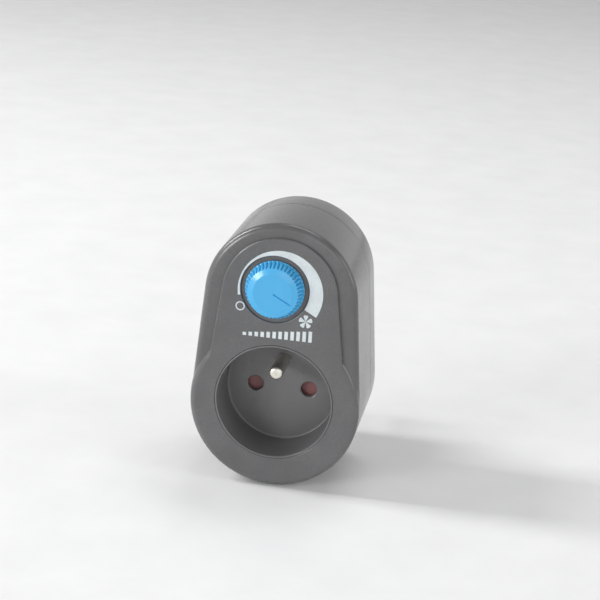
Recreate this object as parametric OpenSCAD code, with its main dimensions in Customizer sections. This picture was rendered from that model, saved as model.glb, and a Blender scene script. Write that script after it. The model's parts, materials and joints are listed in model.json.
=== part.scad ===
// Plug-in fan speed controller: a rotary regulator in a flat housing with an earthed
// plug on the wall side and a shuttered socket with an earth pin on the room side.
// X runs right, Y into the wall and Z up. The origin is the centre of the plug's nose.

/* [Housing] */
// Radius of the housing's lower, socket end
lower_radius = 29.4; // [29:0.2:36]
// Radius of the housing's upper, control end
upper_radius = 26.2; // [25.6:0.2:32]
// Height from the lower to the upper end's centre
centre_spacing = 37.8; // [37:0.2:46]
// Depth of the housing from its face to the wall side
body_depth = 42; // [40:1:52]
// Depth of the front half of the housing
front_depth = 30; // [29:0.5:34]
// Thickness of the housing's walls
wall = 2; // [1.6:0.1:2.4]
// Radius of the rounding along the front edge
edge_round = 2.4; // [1.2:0.1:3]
// Step down from the raised panel to the ledge around it
ledge_drop = 1.2; // [0.6:0.1:1.6]
// Radius of the raised panel's top
panel_radius = 19.7; // [18:0.1:20.4]

/* [Socket] */
// Radius of the socket recess at its mouth
recess_radius = 19.8; // [19.5:0.1:20.2]
// Depth of the socket recess
recess_depth = 16; // [15:0.5:17]
// Thickness of the recess's floor
floor_thickness = 2; // [1.6:0.1:2.4]
// Distance of each contact hole from the axis
pin_offset = 9.5; // [9.3:0.1:9.7]
// Height of the earth pin above the axis
earth_offset = 10; // [9.6:0.1:10.4]

/* [Plug] */
// Length of the plug boss from the housing to its nose
boss_length = 16; // [15:0.5:19]
// Radius of the plug boss
boss_radius = 18.75; // [18.4:0.05:19.2]
// Radius of the plug pins and of the earth pin
pin_radius = 2.4; // [2.3:0.05:2.45]
// Length of the plug pins beyond the nose
pin_length = 19; // [17:0.5:20]

/* [Control] */
// Radius of the knob's base
knob_radius = 10.1; // [9:0.1:12.2]
// How much narrower the knob's top is than its base
knob_taper = 1.4; // [0.8:0.1:2]
// Height of the knob over the panel
knob_height = 4.5; // [3.8:0.1:6]
// Number of flutes around the knob
flutes = 44; // [30:2:52]
// Direction of the pointer at rest, clockwise from straight up
pointer_angle = 118; // [90:1:150]
// Gap from the knob's base to the edge of the dial recess
dial_gap = 1.5; // [1:0.1:2]

/* [Hidden] */
$fn = 96;
low_z = -1.6;
high_z = low_z + centre_spacing;
knob_x = -1.7;
knob_z = high_z + 3.9;
knob_top_radius = knob_radius - knob_taper;
dial_radius = knob_radius + dial_gap;
panel_z = high_z + 2;
lean = (lower_radius - upper_radius) / centre_spacing;
upright = sqrt(1 - lean * lean);

// Depths, from the room side to the wall side
face_y = -boss_length - body_depth;
flange_y = -boss_length;
split_y = face_y + front_depth;
ledge_y = face_y + ledge_drop;
inner_y = face_y + ledge_drop + wall;
back_y = flange_y - wall;
floor_y = face_y + recess_depth;
floor_back_y = floor_y + floor_thickness;
chamber_y = floor_back_y + 4.4;
carrier_y = back_y - 4.2;
board_y = face_y + 13;
board_thickness = 1.6;
board_back_y = board_y + board_thickness;
dial_depth = 0.8;
dial_y = face_y + dial_depth;
board_r = upper_radius - wall - 0.6;
board_bottom = 22.6;

// Fixing points
cup_wall = 1.5;
cup_r = recess_radius + cup_wall;
rim_r = recess_radius + 0.6;
column_r = 2.9;
low_screw_r = lower_radius - wall - column_r - 0.1;
low_screw_angle = 45;
low_screw_x = low_screw_r * cos(low_screw_angle);
low_screw_z = low_z - low_screw_r * sin(low_screw_angle);
high_screw_r = upper_radius - wall - column_r - 0.1;
high_screw_angle = 38;
high_screw_x = high_screw_r * cos(high_screw_angle);
high_screw_z = high_z + high_screw_r * sin(high_screw_angle);
board_screw_x = 17;
board_screw_z = high_z - 5.8;
screw_r = 1.1;
screw_head_r = 2.2;
counterbore_y = flange_y - 4;

// Electrical parts
leaf = 0.5;
fit_gap = 0.3;
collar_y = -5.2;
nose_wall = 3;
cavity_r = boss_radius - 2.2;
clip_z = boss_radius - 1.5;
bridge_y = carrier_y + 1;
shutter_half = 3.5;
shutter_y = floor_back_y + fit_gap;
shutter_depth = 3.4;
spring_top = -shutter_half - 0.8;
spring_bottom = -15.6;
shaft_r = 3;
print_y = face_y - 0.06;
case_y = face_y + 3.2;
switch_y = case_y + 5.4;
fuse_z = high_z + 17;
post_length = 5;
sleeve_y = -13.5;
neck_r = pin_radius - 0.4;
hole_radius = pin_radius + 0.35;
grip = pin_radius + 0.35;
lip_x = grip + leaf + 0.5;
leaf_half = 2.2;
shutter_edge = pin_offset + 3.4;

module slab(y0, y1) translate([0, y1, 0]) rotate([90, 0, 0]) linear_extrude(y1 - y0) children();

module slab_x(half) rotate([90, 0, 90]) translate([0, 0, -half]) linear_extrude(2 * half) children();

module slab_z(z0, z1) translate([0, 0, z0]) linear_extrude(z1 - z0) children();

module rod(r, y0, y1) translate([0, y1, 0]) rotate([90, 0, 0]) cylinder(r = r, h = y1 - y0);

module block(x0, x1, y0, y1, z0, z1) translate([x0, y0, z0]) cube([x1 - x0, y1 - y0, z1 - z0]);

module at(x, z) translate([x, 0, z]) children();

module both_sides() {
    children();
    mirror([1, 0, 0]) children();
}

module carrier_screw_points() both_sides() at(15.4, -9.4) children();

module housing_screw_points() both_sides() {
    at(low_screw_x, low_screw_z) children();
    at(high_screw_x, high_screw_z) children();
}

// Housing outline: two circles joined by the lines that touch both
module outline(inset) {
    r1 = lower_radius - inset;
    r2 = upper_radius - inset;
    translate([0, low_z]) circle(r1);
    translate([0, high_z]) circle(r2);
    polygon([
        [r1 * upright, low_z + r1 * lean],
        [r2 * upright, high_z + r2 * lean],
        [-r2 * upright, high_z + r2 * lean],
        [-r1 * upright, low_z + r1 * lean]
    ]);
}

module edge_profile(r, h) {
    square([r - edge_round, h]);
    square([r, h - edge_round]);
    translate([r - edge_round, h - edge_round]) circle(edge_round);
}

module round_end(r, y0, y1) translate([0, y1, 0]) rotate([90, 0, 0])
    rotate_extrude() edge_profile(r, y1 - y0);

module straight_side(y0, y1) translate([0, y1, low_z]) rotate([0, -asin(lean), 0])
    rotate([90, 0, 0]) translate([0, centre_spacing * upright, 0]) rotate([90, 0, 0])
    linear_extrude(centre_spacing * upright) edge_profile(lower_radius, y1 - y0);

module rounded_body() {
    at(0, low_z) round_end(lower_radius, ledge_y, split_y);
    at(0, high_z) round_end(upper_radius, ledge_y, split_y);
    both_sides() straight_side(ledge_y, split_y);
    at(0, low_z) round_end(lower_radius, face_y, split_y);
}

// Raised control panel, which runs down into the socket ring
module panel_outline() {
    foot_z = 6;
    foot_x = panel_radius + 4.7;
    taper = 7.5;
    translate([0, panel_z]) circle(panel_radius);
    polygon([
        [panel_radius * cos(taper), panel_z + panel_radius * sin(taper)],
        [foot_x, foot_z],
        [-foot_x, foot_z],
        [-panel_radius * cos(taper), panel_z + panel_radius * sin(taper)]
    ]);
}

module front_shell() {
    collar_depth = 5;
    color([0.14, 0.14, 0.145]) {
        difference() {
            union() {
                rounded_body();
                slab(face_y, inner_y) panel_outline();
            }
            slab(inner_y, split_y + 1) outline(wall);
            rod(rim_r + 0.05, face_y - 1, inner_y + 1);
            at(knob_x, knob_z) rod(dial_radius, face_y - 1, dial_y);
            at(knob_x, knob_z) rod(4.5, face_y - 1, inner_y + 1);
        }
        difference() {
            rod(cup_r + 1.6, inner_y, inner_y + collar_depth);
            rod(cup_r + 0.05, inner_y - 1, inner_y + collar_depth + 1);
        }
        housing_screw_points() difference() {
            rod(column_r, inner_y, split_y);
            rod(screw_r, split_y - 9, split_y + 1);
        }
        both_sides() at(board_screw_x, board_screw_z) difference() {
            rod(2.4, inner_y, board_y);
            rod(0.9, board_y - 6, board_y + 1);
        }
    }
}

module rear_shell() {
    groove_width = 5.4;
    groove_depth = 2.6;
    column_outer = 3.1;
    color([0.13, 0.13, 0.135]) difference() {
        union() {
            difference() {
                slab(split_y, flange_y) outline(0);
                slab(split_y - 1, back_y) outline(wall);
                rod(cavity_r, back_y - 1, flange_y + 1);
            }
            difference() {
                slab(split_y - 1.6, split_y + 1) outline(wall + 0.05);
                slab(split_y - 2, split_y + 2) outline(wall + 1);
                housing_screw_points() rod(column_r + 0.2, split_y - 3, split_y);
            }
            housing_screw_points() rod(column_outer, split_y, back_y + 0.5);
            difference() {
                rotate([0, 45, 0]) rod(boss_radius, flange_y, 0);
                rod(cavity_r, flange_y - 1, -nose_wall);
                both_sides() block(boss_radius - groove_depth, boss_radius + 1,
                    flange_y + 1.5, 1, -groove_width / 2, groove_width / 2);
            }
            both_sides() block(boss_radius - groove_depth - 1.6, boss_radius - groove_depth + 0.01,
                flange_y, 0, -groove_width / 2 - 1.2, groove_width / 2 + 1.2);
        }
        housing_screw_points() {
            rod(screw_r + 0.2, split_y - 1, flange_y + 1);
            rod(screw_head_r + 0.2, counterbore_y, flange_y + 1);
        }
        both_sides() at(pin_offset, 0) rod(neck_r, -nose_wall - 1, 1);
        at(0, earth_offset) rod(pin_radius + 0.2, -nose_wall - 1, 1);
        for (turn = [0, 180]) rotate([0, turn, 0])
            block(-2.9, 2.9, -13.6, 1, clip_z - 1.2, boss_radius + 1);
    }
}

module socket_cup() {
    rail_x = shutter_edge + 0.4;
    color([0.12, 0.12, 0.125]) {
        difference() {
            union() {
                rod(rim_r, face_y - 0.05, inner_y);
                rod(cup_r, inner_y, floor_back_y);
            }
            translate([0, floor_y, 0]) rotate([90, 0, 0])
                cylinder(r1 = recess_radius - 0.3, r2 = recess_radius, h = recess_depth + 0.05);
            translate([0, face_y, 0]) rotate([90, 0, 0]) cylinder(r = recess_radius, h = 1);
            both_sides() at(pin_offset, 0) rod(hole_radius, floor_y - 1, floor_back_y + 1);
            at(0, earth_offset) rod(neck_r, floor_y - 1, floor_back_y + 1);
        }
        both_sides() block(rail_x, rail_x + 1, floor_back_y, chamber_y - 0.4, -11, 3.6);
        carrier_screw_points() difference() {
            rod(2.3, floor_back_y, floor_back_y + post_length);
            rod(screw_r, floor_back_y + 0.6, floor_back_y + post_length + 1);
        }
    }
}

// Front earth pin with its shoulder and riveted tail
module earth_pin() {
    tip_y = face_y + 1.2;
    color([0.8, 0.79, 0.74]) at(0, earth_offset) {
        rod(pin_radius, tip_y + 1.2, floor_y);
        rod(neck_r, floor_y, floor_back_y);
        translate([0, tip_y + 1.2, 0]) rotate([90, 0, 0])
            cylinder(r1 = pin_radius, r2 = pin_radius - 1, h = 1.2);
        rod(3.4, floor_back_y, floor_back_y + 1.2);
        rod(1.8, floor_back_y, bridge_y + 1);
    }
}

module shutter() {
    front = shutter_y;
    back = shutter_y + shutter_depth;
    color([0.32, 0.07, 0.06]) {
        difference() {
            block(-shutter_edge, shutter_edge, front, back, -shutter_half, shutter_half);
            both_sides() translate([pin_offset - 3.2, front, -shutter_half]) rotate([32, 0, 0])
                translate([0, -4, 0]) cube([6.4, 4, 9]);
            block(-5.2, 5.2, front - 1, front + 1.2, -shutter_half - 1, shutter_half + 1);
        }
        block(-2.6, 2.6, front + 1.2, back, -shutter_half - 0.8, -shutter_half);
    }
}

module shutter_spring() {
    turns = 7;
    wire_r = 0.22;
    coil_r = 1.4;
    pitch = (spring_top - spring_bottom - 2 * wire_r) / (turns - 1);
    color([0.7, 0.7, 0.68]) translate([0, shutter_y + 2.2, spring_bottom + wire_r]) {
        for (turn = [0:turns - 1]) translate([0, 0, turn * pitch])
            rotate_extrude() translate([coil_r, 0]) circle(wire_r);
        for (turn = [0:turns - 2]) rotate([0, 0, turn * 180])
            translate([coil_r, 0, turn * pitch]) cylinder(r = wire_r * 0.8, h = pitch);
    }
}

// Moulded carrier behind the socket floor; it houses the contacts and the shutter
module contact_carrier() {
    mouth_y = floor_back_y;
    pocket_r = norm([lip_x, leaf_half]) + 0.06;
    color([0.62, 0.6, 0.55]) difference() {
        rod(cup_r - 0.5, mouth_y, carrier_y);
        block(-shutter_edge - 1.7, shutter_edge + 1.7, mouth_y - 1, chamber_y, -16.2, 5.2);
        both_sides() at(pin_offset, 0) {
            rod(pocket_r, chamber_y - 1, carrier_y - 1.2);
            rod(2.6, carrier_y - 2, carrier_y + 1);
        }
        at(0, earth_offset) {
            rod(1.85, mouth_y - 1, carrier_y + 1);
            rod(3.6, mouth_y - 1, mouth_y + 1.5);
        }
        carrier_screw_points() {
            rod(2.35, mouth_y - 1, mouth_y + post_length);
            rod(screw_r + 0.2, mouth_y - 1, carrier_y + 1);
            rod(screw_head_r + 0.2, carrier_y - 2.2, carrier_y + 1);
        }
        both_sides() block(16.4, 25, chamber_y + 2, carrier_y + 1, 4, 9);
    }
}

module carrier_screws() {
    seat_y = carrier_y - 2.2;
    color([0.72, 0.72, 0.7]) carrier_screw_points() difference() {
        union() {
            rod(screw_r, floor_back_y + 1, seat_y);
            rod(screw_head_r, seat_y, seat_y + 1.6);
        }
        block(-0.3, 0.3, seat_y + 0.9, seat_y + 2, -1.5, 1.5);
        block(-1.5, 1.5, seat_y + 0.9, seat_y + 2, -0.3, 0.3);
    }
}

// Spring contact: two leaves that grip a plug pin, on a base with a tail
module spring_contact() {
    mouth = chamber_y + 0.5;
    base = carrier_y - 1.2 - leaf;
    both_sides() slab_z(-leaf_half, leaf_half) polygon([
        [0, base], [grip, base], [grip - 0.25, mouth + 2], [grip + 0.5, mouth],
        [lip_x, mouth], [grip + leaf - 0.2, mouth + 2],
        [grip + leaf, base + leaf], [0, base + leaf]
    ]);
    rod(1.2, base + leaf, carrier_y + 0.8);
}

module contact_live() color([0.78, 0.6, 0.28]) at(-pin_offset, 0) spring_contact();

module contact_neutral() color([0.78, 0.6, 0.28]) at(pin_offset, 0) spring_contact();

// Strip that ties the front earth pin to the plug's earth contacts
module earth_bridge() {
    half = 2.2;
    edge = cavity_r - 1.7;
    color([0.8, 0.65, 0.35]) {
        difference() {
            block(-half, half, bridge_y, bridge_y + 0.8, -edge, edge);
            at(0, earth_offset) rod(1.8, bridge_y - 1, bridge_y + 2);
        }
        for (turn = [0, 180]) rotate([0, turn, 0])
            block(-half, half, bridge_y + 0.8, -6.2, edge - 0.8, edge);
    }
}

// Sprung side contact of the plug, one at the top and one at the bottom
module side_clip() {
    color([0.8, 0.79, 0.74]) {
        slab_x(2.4) polygon([
            [-13.2, clip_z - 0.9], [-13.2, clip_z - 0.3], [-9, clip_z + 0.5], [-5, clip_z + 0.9],
            [-1, clip_z + 0.2], [-0.7, clip_z - 0.4], [-1.3, clip_z - 0.5],
            [-5, clip_z + 0.3], [-9, clip_z - 0.1]
        ]);
        block(-2.2, 2.2, -13.2, -12.6, cavity_r - 1.7, clip_z - 0.6);
    }
}

module earth_clip_top() side_clip();

module earth_clip_bottom() mirror([0, 0, 1]) side_clip();

// Sleeve that takes the wall socket's earth pin
module earth_sleeve() {
    color([0.78, 0.6, 0.28]) at(0, earth_offset) {
        difference() {
            rod(pin_radius + 0.8, sleeve_y, -nose_wall);
            rod(pin_radius + 0.2, sleeve_y - 1, 0);
            block(-0.4, 0.4, sleeve_y - 1, -nose_wall + 1, 0, 5);
        }
        rod(pin_radius + 0.8, sleeve_y - 0.6, sleeve_y);
        block(-1.4, 1.4, bridge_y + 0.8, sleeve_y - 0.6, -2.9, -2.3);
    }
}

module plug_pin(tail_y) {
    rod(pin_radius, 0, pin_length - 1.6);
    rod(neck_r, collar_y, 0);
    translate([0, pin_length - 1.6, 0]) rotate([-90, 0, 0])
        cylinder(r1 = pin_radius, r2 = pin_radius - 0.9, h = 1.1);
    translate([0, pin_length - 0.5, 0]) rotate([-90, 0, 0])
        cylinder(r1 = pin_radius - 0.9, r2 = pin_radius - 1.5, h = 0.5);
    rod(pin_radius + 0.9, collar_y, -nose_wall);
    rod(1.5, tail_y, collar_y);
}

module plug_pin_live() color([0.85, 0.84, 0.8]) at(-pin_offset, 0) plug_pin(-12);

module plug_pin_neutral() color([0.85, 0.84, 0.8]) at(pin_offset, 0) plug_pin(carrier_y + 0.8);

// Bar moulded inside the plug that clamps the pins' collars against the nose
module pin_clamp() {
    color([0.6, 0.58, 0.53]) difference() {
        block(-14, 14, collar_y - 3, collar_y, -4.4, 4.4);
        both_sides() at(pin_offset, 0) rod(1.55, collar_y - 4, collar_y + 1);
        rod(screw_r, collar_y - 4, collar_y + 1);
    }
}

module housing_screws() {
    color([0.35, 0.35, 0.34]) housing_screw_points() difference() {
        union() {
            rod(screw_r, split_y - 8.6, counterbore_y);
            rod(screw_head_r, counterbore_y, counterbore_y + 1.8);
        }
        block(-0.3, 0.3, counterbore_y + 0.9, counterbore_y + 3, -1.5, 1.5);
        block(-1.5, 1.5, counterbore_y + 0.9, counterbore_y + 3, -0.3, 0.3);
    }
}

module circuit_board() {
    color([0.55, 0.42, 0.2]) slab(board_y, board_back_y) difference() {
        intersection() {
            translate([0, high_z]) circle(board_r);
            translate([-40, board_bottom]) square([80, 80]);
        }
        for (side = [-1, 1]) {
            translate([side * high_screw_x, high_screw_z]) circle(column_r + 0.4);
            translate([side * board_screw_x, board_screw_z]) circle(1);
        }
        translate([knob_x, knob_z]) circle(shaft_r + 0.6);
    }
}

module board_screws() {
    color([0.72, 0.72, 0.7]) both_sides() at(board_screw_x, board_screw_z) difference() {
        union() {
            rod(0.9, board_y - 5, board_back_y);
            rod(1.9, board_back_y, board_back_y + 1.3);
        }
        block(-0.3, 0.3, board_back_y + 0.7, board_back_y + 2, -1.3, 1.3);
        block(-1.3, 1.3, board_back_y + 0.7, board_back_y + 2, -0.3, 0.3);
    }
}

// Potentiometer case with the neck that passes through the front panel
module pot_case() {
    color([0.6, 0.62, 0.6]) at(knob_x, knob_z) {
        difference() {
            union() {
                rod(8.4, case_y, switch_y);
                rod(4.4, dial_y, case_y);
            }
            rod(shaft_r + 0.06, dial_y - 1, switch_y + 1);
            rod(7.6, case_y + 1, switch_y - 1);
        }
    }
}

module resistance_track() {
    color([0.1, 0.1, 0.1]) at(knob_x, knob_z) difference() {
        rod(7.4, switch_y - 1.6, switch_y - 1);
        rod(4.6, switch_y - 2, switch_y);
        rotate([0, 90, 0]) block(0, 8, switch_y - 2, switch_y, -1.5, 1.5);
    }
}

// On-off switch stacked behind the potentiometer
module switch_case() {
    color([0.16, 0.2, 0.34]) at(knob_x, knob_z) difference() {
        rod(8.4, switch_y, board_y);
        rod(7.6, switch_y + 1, board_y - 1);
        rod(shaft_r + 0.06, switch_y - 1, switch_y + 2);
    }
}

module pot_shaft() {
    end_y = board_y - 1.6;
    top_y = face_y - knob_height + 1.6;
    color([0.8, 0.8, 0.78]) at(knob_x, knob_z) {
        difference() {
            rod(shaft_r, top_y, end_y);
            turned_flat(face_y - 0.2);
        }
        rotate([0, pointer_angle - 90, 0]) block(0, 6.4, end_y - 1, end_y, -1, 1);
    }
}

module wiper() {
    color([0.78, 0.6, 0.28]) at(knob_x, knob_z) {
        difference() {
            rod(4.2, switch_y - 3.2, switch_y - 2.6);
            rod(shaft_r, switch_y - 4, switch_y - 2);
        }
        rotate([0, pointer_angle - 90, 0]) block(3.6, 6.6, switch_y - 2.6, switch_y - 1.9, -0.8, 0.8);
    }
}

// Flat on the shaft's end that the knob's bore matches
module turned_flat(to_y) rotate([0, pointer_angle - 90, 0])
    block(-shaft_r - 1, -shaft_r + 0.9, face_y - knob_height, to_y, -shaft_r, shaft_r);

module knob() {
    base_y = dial_y - fit_gap;
    top_y = face_y - knob_height;
    rise = base_y - top_y;
    skirt = 1.5;
    groove = 0.34;
    shoulder = 0.9;
    slope = atan((knob_radius - knob_top_radius) / rise);
    color([0.2, 0.55, 0.8]) at(knob_x, knob_z) {
        difference() {
            union() {
                translate([0, base_y - 0.9, 0]) rotate([90, 0, 0])
                    cylinder(r1 = knob_radius - 0.1, r2 = knob_top_radius, h = rise - 0.9 - shoulder);
                rod(knob_radius, base_y - 0.9, base_y);
                translate([0, top_y + shoulder, 0]) rotate([90, 0, 0])
                    cylinder(r1 = knob_top_radius, r2 = knob_top_radius - 2.2, h = shoulder);
            }
            translate([0, base_y + 1, 0]) rotate([90, 0, 0])
                cylinder(r1 = knob_radius - skirt, r2 = knob_top_radius - skirt, h = rise - 0.6);
            for (i = [0:flutes - 1]) rotate([0, i * 360 / flutes, 0])
                translate([knob_radius - 0.05, base_y - 0.9, 0]) rotate([0, 0, -slope])
                rotate([90, 0, 0]) cylinder(r = groove, h = rise + 2, $fn = 4);
            rotate([0, pointer_angle - 90, 0])
                block(0.6, knob_top_radius + 1, top_y - 1, top_y + 0.4, -0.3, 0.3);
        }
        difference() {
            rod(5, top_y + 1, base_y);
            difference() {
                rod(shaft_r, top_y + 1.6, base_y + 1);
                turned_flat(face_y - 0.2);
            }
        }
    }
}

// Printed scale: a wedge that widens clockwise as the speed rises
module scale_print() {
    outer_r = dial_radius + 2.9;
    start = 194;
    end = 331;
    reach = 40;
    color([0.9, 0.9, 0.9]) slab(print_y, face_y) translate([knob_x, knob_z]) difference() {
        translate([1.9, -0.8]) circle(outer_r);
        circle(dial_radius + 0.12);
        polygon([
            [0, 0],
            [reach * cos(start), reach * sin(start)],
            [-reach, -reach],
            [reach * cos(end), -reach],
            [reach * cos(end), reach * sin(end)]
        ]);
    }
}

// Centre of a symbol that stands just outside the dial recess, at an angle round the knob
module beside_dial(angle, half_size) translate([knob_x, knob_z]) rotate(angle)
    translate([dial_radius + half_size + 0.15, 0]) rotate(-angle) children();

module off_symbol() {
    ring_r = 1.6;
    color([0.85, 0.85, 0.85]) slab(print_y, face_y) beside_dial(211, ring_r) difference() {
        circle(ring_r);
        circle(ring_r - 0.42);
    }
}

module fan_symbol() {
    blades = 5;
    blade_r = 2.3;
    color([0.85, 0.85, 0.85]) slab(print_y, face_y) beside_dial(318.1, blade_r + 0.8) {
        circle(0.5);
        for (i = [0:blades - 1]) rotate(90 + i * 360 / blades) polygon([
            [0.3, -0.16], [blade_r - 0.4, -0.8], [blade_r, -0.4],
            [blade_r, 0.4], [blade_r - 0.4, 0.8], [0.3, 0.16]
        ]);
    }
}

// Plain row of rising bars under the dial
module level_marks() {
    count = 12;
    pitch = 2.04;
    bar = 1.2;
    shortest = 1.1;
    climb = 0.25;
    color([0.8, 0.8, 0.8]) slab(print_y, face_y) for (i = [0:count - 1])
        translate([(i - (count - 1) / 2) * pitch - bar / 2, knob_z - dial_radius - 5.4])
            square([bar, shortest + climb * i]);
}

module choke_core() {
    color([0.3, 0.32, 0.3]) at(-8.5, high_z + 4.3) difference() {
        rod(8, board_back_y + 2, board_back_y + 8);
        rod(4.6, board_back_y + 1, board_back_y + 9);
    }
}

module choke_winding() {
    turns = 16;
    wire = 0.8;
    color([0.72, 0.36, 0.16]) at(-8.5, high_z + 4.3)
        for (i = [0:turns - 1]) rotate([0, i * 340 / turns, 0]) difference() {
            block(3.7, 8.9, board_back_y + 1.1, board_back_y + 8.9, -wire / 2, wire / 2);
            block(4.5, 8, board_back_y + 2, board_back_y + 8, -wire, wire);
        }
}

module suppression_capacitor() {
    color([0.9, 0.72, 0.15]) block(-13.6, 3.6, board_back_y + 0.4, board_back_y + 12.4, 23.2, 29.6);
    color([0.8, 0.8, 0.8]) for (x = [-12.4, 2.4]) at(x, 26.4) rod(0.35, board_back_y, board_back_y + 0.4);
}

module triac() {
    color([0.12, 0.12, 0.12]) block(13.2, 17.4, board_back_y + 4, board_back_y + 13, high_z - 1, high_z + 9);
    color([0.8, 0.8, 0.8]) for (i = [0:2]) at(15.2, high_z + 1.5 + i * 2.54)
        rod(0.4, board_back_y, board_back_y + 4);
}

module heat_sink() {
    top = high_z + 9.2;
    color([0.75, 0.75, 0.76]) {
        block(17.4, 18.6, board_back_y, board_back_y + 19, high_z - 2.2, top);
        block(13.4, 17.4, board_back_y + 17.8, board_back_y + 19, high_z - 2.2, top);
    }
}

module fuse() {
    centre_y = board_back_y + 5;
    color([0.85, 0.9, 0.9]) translate([-7, centre_y, fuse_z]) rotate([0, 90, 0])
        cylinder(r = 2.4, h = 14);
    color([0.8, 0.8, 0.78]) for (x = [-9.6, 5.6]) translate([x, centre_y, fuse_z]) rotate([0, 90, 0])
        cylinder(r = 2.6, h = 4);
}

module fuse_clips() {
    centre_y = board_back_y + 5;
    color([0.8, 0.65, 0.35]) for (x = [-7.6, 7.6]) difference() {
        union() {
            translate([x - 1.5, centre_y, fuse_z]) rotate([0, 90, 0]) cylinder(r = 3.1, h = 3);
            block(x - 1.5, x + 1.5, board_back_y, centre_y, fuse_z - 1, fuse_z + 1);
        }
        translate([x - 2.5, centre_y, fuse_z]) rotate([0, 90, 0]) cylinder(r = 2.6, h = 5);
        block(x - 2.5, x + 2.5, centre_y + 1, centre_y + 5, fuse_z - 4, fuse_z + 4);
    }
}

module varistor() {
    color([0.1, 0.22, 0.5]) translate([7.6, board_back_y + 7, 27.4]) rotate([0, 90, 0])
        cylinder(r = 4.2, h = 3.4);
    color([0.8, 0.8, 0.8]) for (z = [25.2, 29.6]) at(9.3, z) rod(0.35, board_back_y, board_back_y + 3.9);
}

module timing_capacitor() {
    color([0.6, 0.15, 0.1]) block(3.4, 10.4, board_back_y + 0.6, board_back_y + 7, high_z + 8.2, high_z + 11.4);
    color([0.8, 0.8, 0.8]) for (x = [4.4, 9.4]) at(x, high_z + 9.8)
        rod(0.3, board_back_y, board_back_y + 0.6);
}

module resistors() {
    for (i = [0:2]) translate([3.2 + i * 3.2, board_back_y + 1.5, high_z - 2]) {
        color([0.75, 0.62, 0.42]) cylinder(r = 1.1, h = 6);
        color([0.8, 0.8, 0.8]) translate([0, 0, -1.2]) cylinder(r = 0.3, h = 8.4);
        color([0.8, 0.8, 0.8]) for (end = [-0.9, 6.9]) translate([0, -1.5, end]) rotate([-90, 0, 0])
            cylinder(r = 0.25, h = 1.5);
    }
}

module diac() {
    color([0.2, 0.35, 0.6]) translate([4.2, board_back_y + 1.1, high_z - 4.9]) rotate([0, 90, 0])
        cylinder(r = 0.9, h = 4);
}

// Wire laid along straight runs that cross a little at each turn
module wire_run(points, r) {
    last = len(points) - 2;
    for (i = [0:last]) {
        step = points[i + 1] - points[i];
        turn = atan2(step[1], step[0]);
        rise = acos(step[2] / norm(step));
        before = i == 0 ? 0 : r * 0.55;
        after = i == last ? 0 : r * 0.55;
        translate(points[i]) rotate([0, rise, turn]) translate([0, 0, -before])
            cylinder(r = r, h = norm(step) + before + after, $fn = 10);
    }
}

module live_in_wire() {
    color([0.45, 0.25, 0.12]) wire_run([
        [-pin_offset, -12, 0],
        [-pin_offset, -15.4, 0],
        [-pin_offset + 2.4, -15.8, 6],
        [-pin_offset + 3, back_y - 1.4, 13.2],
        [-pin_offset + 3, back_y - 1.7, 20],
        [-11.8, back_y - 2, fuse_z - 3],
        [-11.8, board_back_y, fuse_z - 3]
    ], 0.9);
}

module live_out_wire() {
    color([0.6, 0.12, 0.1]) wire_run([
        [-pin_offset, carrier_y + 0.8, 0],
        [-pin_offset, carrier_y + 1.8, 0],
        [-15, carrier_y + 1.8, 21.6],
        [-15.6, board_back_y + 14.6, 25],
        [-15.6, board_back_y, 25]
    ], 0.9);
}

// Piece to draw

front_shell();
rear_shell();
socket_cup();
earth_pin();
shutter();
shutter_spring();
contact_carrier();
carrier_screws();
contact_live();
contact_neutral();
earth_bridge();
earth_clip_top();
earth_clip_bottom();
earth_sleeve();
plug_pin_live();
plug_pin_neutral();
pin_clamp();
housing_screws();
circuit_board();
board_screws();
pot_case();
resistance_track();
switch_case();
pot_shaft();
wiper();
knob();
scale_print();
off_symbol();
fan_symbol();
level_marks();
choke_core();
choke_winding();
suppression_capacitor();
triac();
heat_sink();
fuse();
fuse_clips();
varistor();
timing_capacitor();
resistors();
diac();
live_in_wire();
live_out_wire();
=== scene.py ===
"""Looks of the plug-in fan speed controller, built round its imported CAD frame.

Pieces are modelled in millimetres in the row's frame (X right, Y into the wall, Z up) and
turned into metres when they are made.
"""
import json
import math

import bmesh
import bpy
from mathutils import Matrix, Vector


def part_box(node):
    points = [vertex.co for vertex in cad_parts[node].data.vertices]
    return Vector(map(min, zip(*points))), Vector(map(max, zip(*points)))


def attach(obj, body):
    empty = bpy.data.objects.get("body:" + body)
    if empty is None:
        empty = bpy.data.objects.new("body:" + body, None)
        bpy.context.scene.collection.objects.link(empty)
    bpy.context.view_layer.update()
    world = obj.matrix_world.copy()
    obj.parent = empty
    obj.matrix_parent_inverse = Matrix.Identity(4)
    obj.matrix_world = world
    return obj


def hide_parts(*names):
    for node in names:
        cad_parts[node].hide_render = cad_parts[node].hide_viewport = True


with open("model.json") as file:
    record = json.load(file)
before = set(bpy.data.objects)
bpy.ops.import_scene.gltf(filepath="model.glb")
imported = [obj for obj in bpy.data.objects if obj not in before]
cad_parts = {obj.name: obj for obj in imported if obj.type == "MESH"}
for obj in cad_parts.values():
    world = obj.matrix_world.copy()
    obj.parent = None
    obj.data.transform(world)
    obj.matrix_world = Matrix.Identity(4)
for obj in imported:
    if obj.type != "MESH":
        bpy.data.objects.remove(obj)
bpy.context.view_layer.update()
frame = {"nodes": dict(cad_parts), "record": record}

MM = 0.001

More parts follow.
